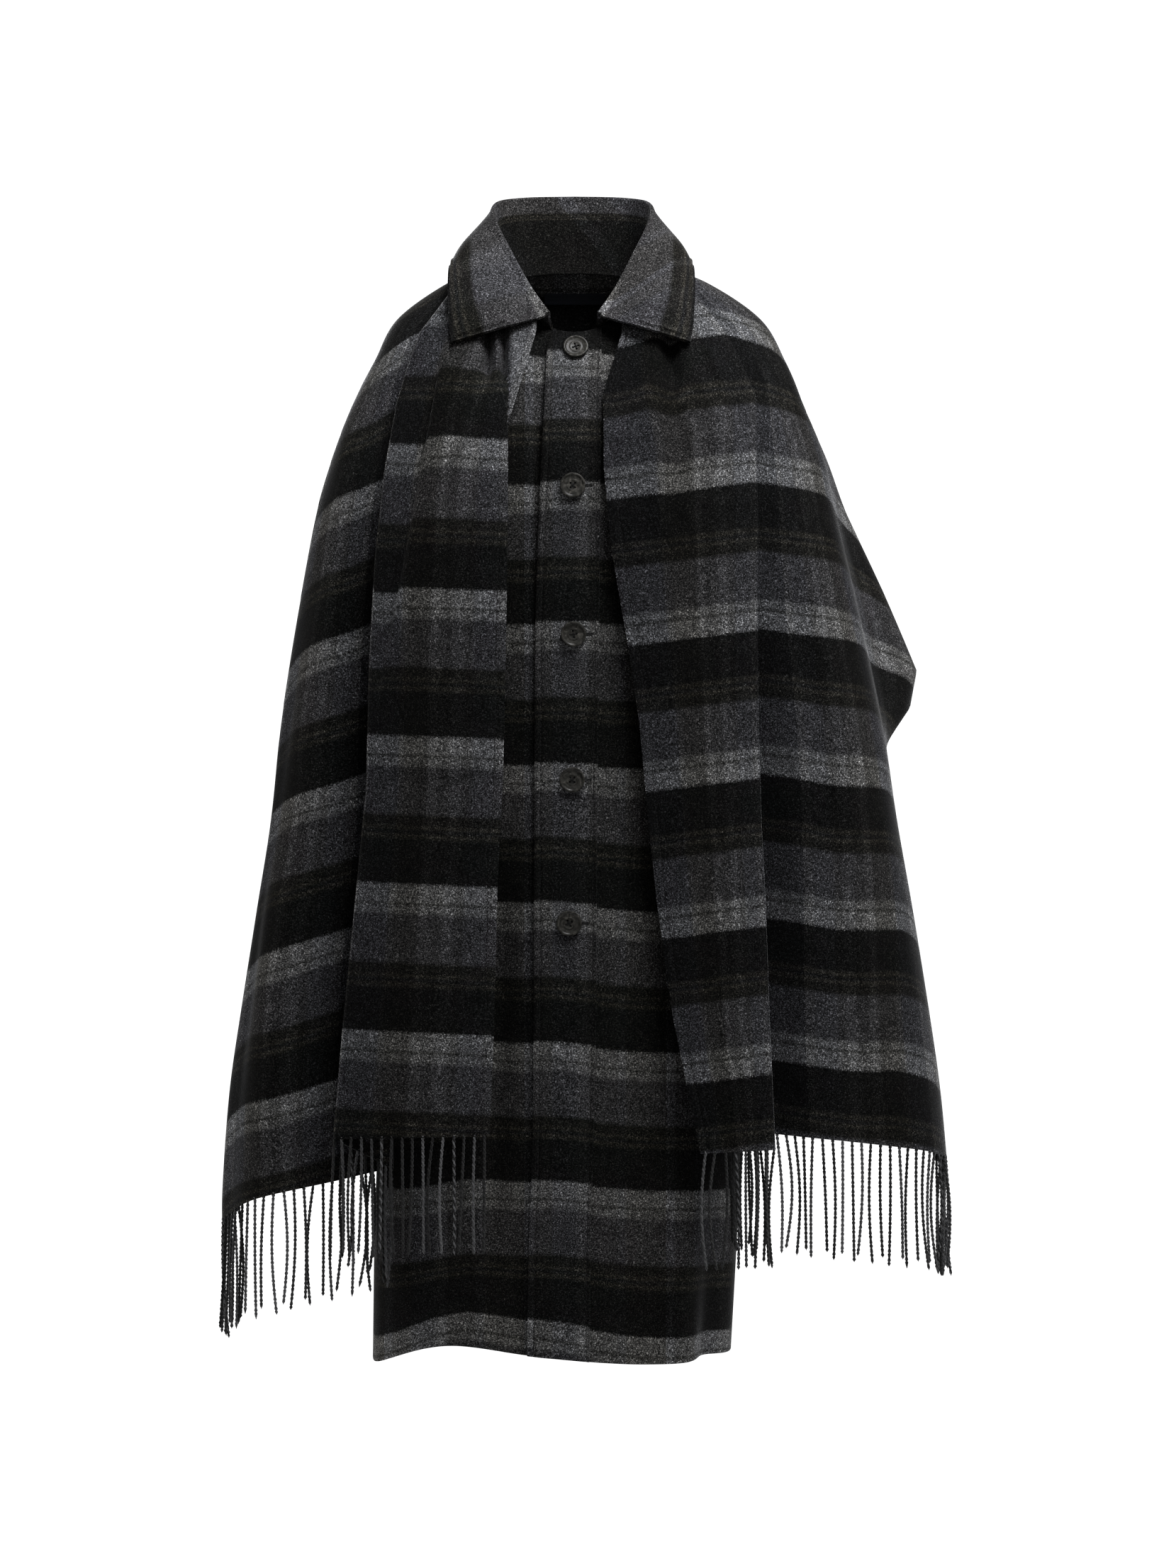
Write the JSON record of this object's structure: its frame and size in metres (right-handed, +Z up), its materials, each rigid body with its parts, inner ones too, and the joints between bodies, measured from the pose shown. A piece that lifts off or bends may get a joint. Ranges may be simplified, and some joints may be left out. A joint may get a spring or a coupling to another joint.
{
  "type": "knee-length wool coat with a fringed scarf of the same cloth, worn shape",
  "caption": "Knee-length buttoned wool coat with a turn-down collar, and a wide fringed scarf of the same check cloth over its shoulders, hollow as worn.",
  "frame": {"origin": "between the shoulders at the base of the neck, where the wearer carries the coat", "axes": "+Z up, the front faces -Y, +X is the wearer's left"},
  "size_m": [0.7373, 0.2958, 1.1815],
  "materials": {
    "coat_wool": "brushed wool in a grey and black check",
    "scarf_wool": "brushed wool in the same check",
    "fringe_wool": "twisted wool fringe",
    "label_cloth": "plain woven tape",
    "button_horn": "satin, horn-like"
  },
  "bodies": {
    "root": {"back": "coat_wool", "front_right": "coat_wool", "front_left": "coat_wool", "placket": "coat_wool", "sleeve_right": "coat_wool", "sleeve_left": "coat_wool", "collar": "coat_wool", "neck_label": "label_cloth", "scarf_end_right": "scarf_wool", "scarf_end_left": "scarf_wool", "scarf_back": "scarf_wool", "fringe_right": "fringe_wool", "fringe_left": "fringe_wool", "button_1": "button_horn", "button_2": "button_horn", "button_3": "button_horn", "button_4": "button_horn", "button_5": "button_horn"}
  },
  "joints": []
}
